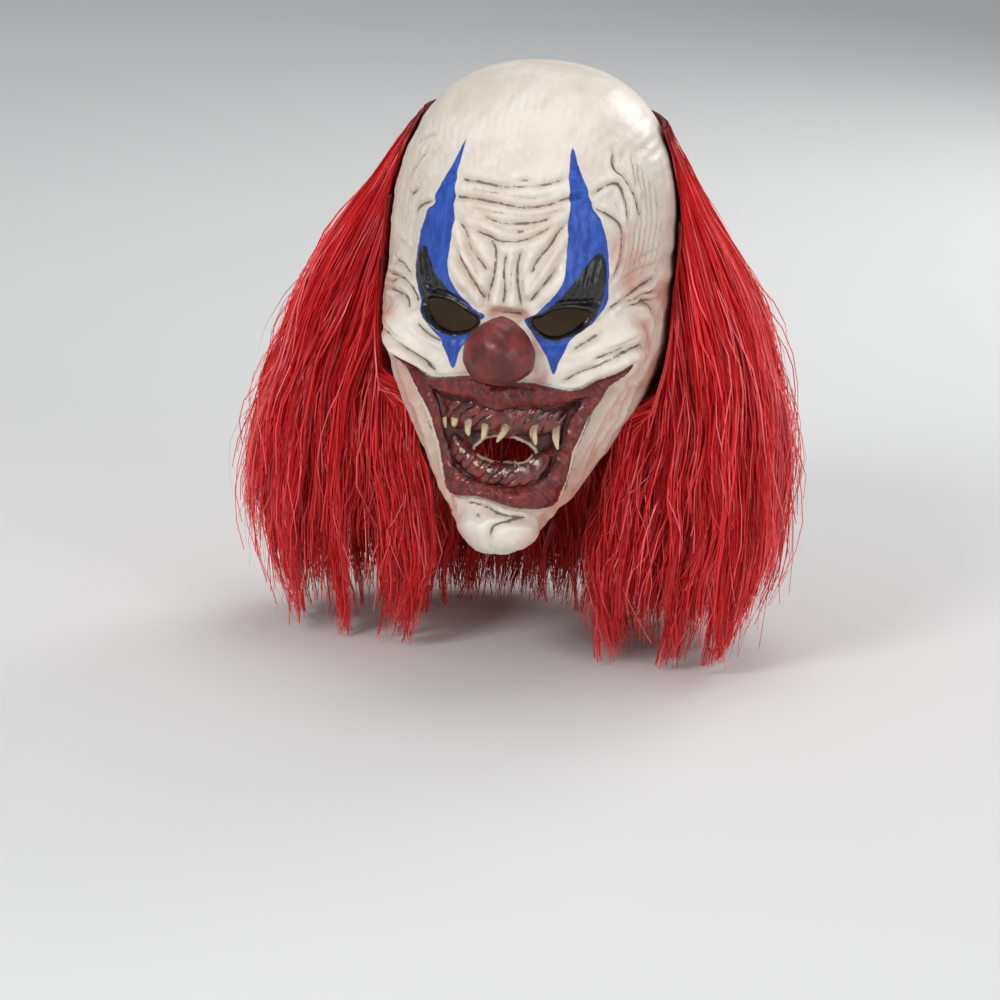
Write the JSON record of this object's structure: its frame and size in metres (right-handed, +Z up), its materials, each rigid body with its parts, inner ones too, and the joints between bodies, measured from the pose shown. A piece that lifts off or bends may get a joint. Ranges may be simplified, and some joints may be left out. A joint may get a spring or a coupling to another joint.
{
  "type": "latex clown mask",
  "caption": "Full-head cast latex clown mask with cut-out eyes, a ball nose, an open grinning mouth with peg teeth, and wefted red hair round the sides and back.",
  "frame": {"origin": "middle of the wearer's head at eye level, where the head that carries the mask sits", "axes": "+Z up, the face looks along -Y, the wearer's left is +X"},
  "size_m": [0.3206, 0.271, 0.343],
  "materials": {
    "painted_latex": "satin latex, hand painted",
    "nose_latex": "semi-gloss latex",
    "mouth_latex": "gloss latex",
    "teeth": "stained, semi-gloss",
    "weft_tape": "stitched tape",
    "hair_fibre": "synthetic fibre with a sheen"
  },
  "bodies": {
    "mask": {"latex_skin": "painted_latex", "nose_bulb": "nose_latex", "mouth_tray": "mouth_latex", "upper_tooth_1": "teeth", "upper_tooth_2": "teeth", "upper_tooth_3": "teeth", "upper_tooth_4": "teeth", "upper_tooth_5": "teeth", "upper_tooth_6": "teeth", "upper_tooth_7": "teeth", "lower_tooth_1": "teeth", "lower_tooth_2": "teeth", "lower_tooth_3": "teeth", "lower_tooth_4": "teeth", "lower_tooth_5": "teeth", "lower_tooth_6": "teeth", "weft_tape_upper": "weft_tape", "weft_tape_middle": "weft_tape", "weft_tape_lower": "weft_tape"},
    "left_upper_hair": {"hair_left_upper": "hair_fibre"},
    "left_middle_hair": {"hair_left_middle": "hair_fibre"},
    "left_lower_hair": {"hair_left_lower": "hair_fibre"},
    "right_upper_hair": {"hair_right_upper": "hair_fibre"},
    "right_middle_hair": {"hair_right_middle": "hair_fibre"},
    "right_lower_hair": {"hair_right_lower": "hair_fibre"},
    "back_upper_hair": {"hair_back_upper": "hair_fibre"},
    "back_middle_hair": {"hair_back_middle": "hair_fibre"},
    "back_lower_hair": {"hair_back_lower": "hair_fibre"}
  },
  "joints": [
    {"name": "left_upper_lift", "type": "hinge", "parent": "mask", "child": "left_upper_hair", "pos_m": [0.0725, 0.03, 0.099], "axis": [0, -1, 0], "range_deg": [0, 30]},
    {"name": "left_middle_lift", "type": "hinge", "parent": "mask", "child": "left_middle_hair", "pos_m": [0.0865, 0.03, 0.047], "axis": [0, -1, 0], "range_deg": [0, 21]},
    {"name": "left_lower_lift", "type": "hinge", "parent": "mask", "child": "left_lower_hair", "pos_m": [0.087, 0.03, 0.013], "axis": [0, -1, 0], "range_deg": [0, 12]},
    {"name": "right_upper_lift", "type": "hinge", "parent": "mask", "child": "right_upper_hair", "pos_m": [-0.0725, 0.03, 0.099], "axis": [0, 1, 0], "range_deg": [0, 30]},
    {"name": "right_middle_lift", "type": "hinge", "parent": "mask", "child": "right_middle_hair", "pos_m": [-0.0865, 0.03, 0.047], "axis": [0, 1, 0], "range_deg": [0, 21]},
    {"name": "right_lower_lift", "type": "hinge", "parent": "mask", "child": "right_lower_hair", "pos_m": [-0.087, 0.03, 0.013], "axis": [0, 1, 0], "range_deg": [0, 12]},
    {"name": "back_upper_lift", "type": "hinge", "parent": "mask", "child": "back_upper_hair", "pos_m": [0, 0.0975, 0.0995], "axis": [1, 0, 0], "range_deg": [0, 30]},
    {"name": "back_middle_lift", "type": "hinge", "parent": "mask", "child": "back_middle_hair", "pos_m": [0, 0.1148, 0.047], "axis": [1, 0, 0], "range_deg": [0, 21]},
    {"name": "back_lower_lift", "type": "hinge", "parent": "mask", "child": "back_lower_hair", "pos_m": [0, 0.1156, 0.013], "axis": [1, 0, 0], "range_deg": [0, 12]}
  ],
  "couplings": [
    {"joint": "left_middle_lift", "follows": "left_upper_lift", "ratio": 0.7},
    {"joint": "left_lower_lift", "follows": "left_upper_lift", "ratio": 0.4},
    {"joint": "right_middle_lift", "follows": "right_upper_lift", "ratio": 0.7},
    {"joint": "right_lower_lift", "follows": "right_upper_lift", "ratio": 0.4},
    {"joint": "back_middle_lift", "follows": "back_upper_lift", "ratio": 0.7},
    {"joint": "back_lower_lift", "follows": "back_upper_lift", "ratio": 0.4}
  ]
}
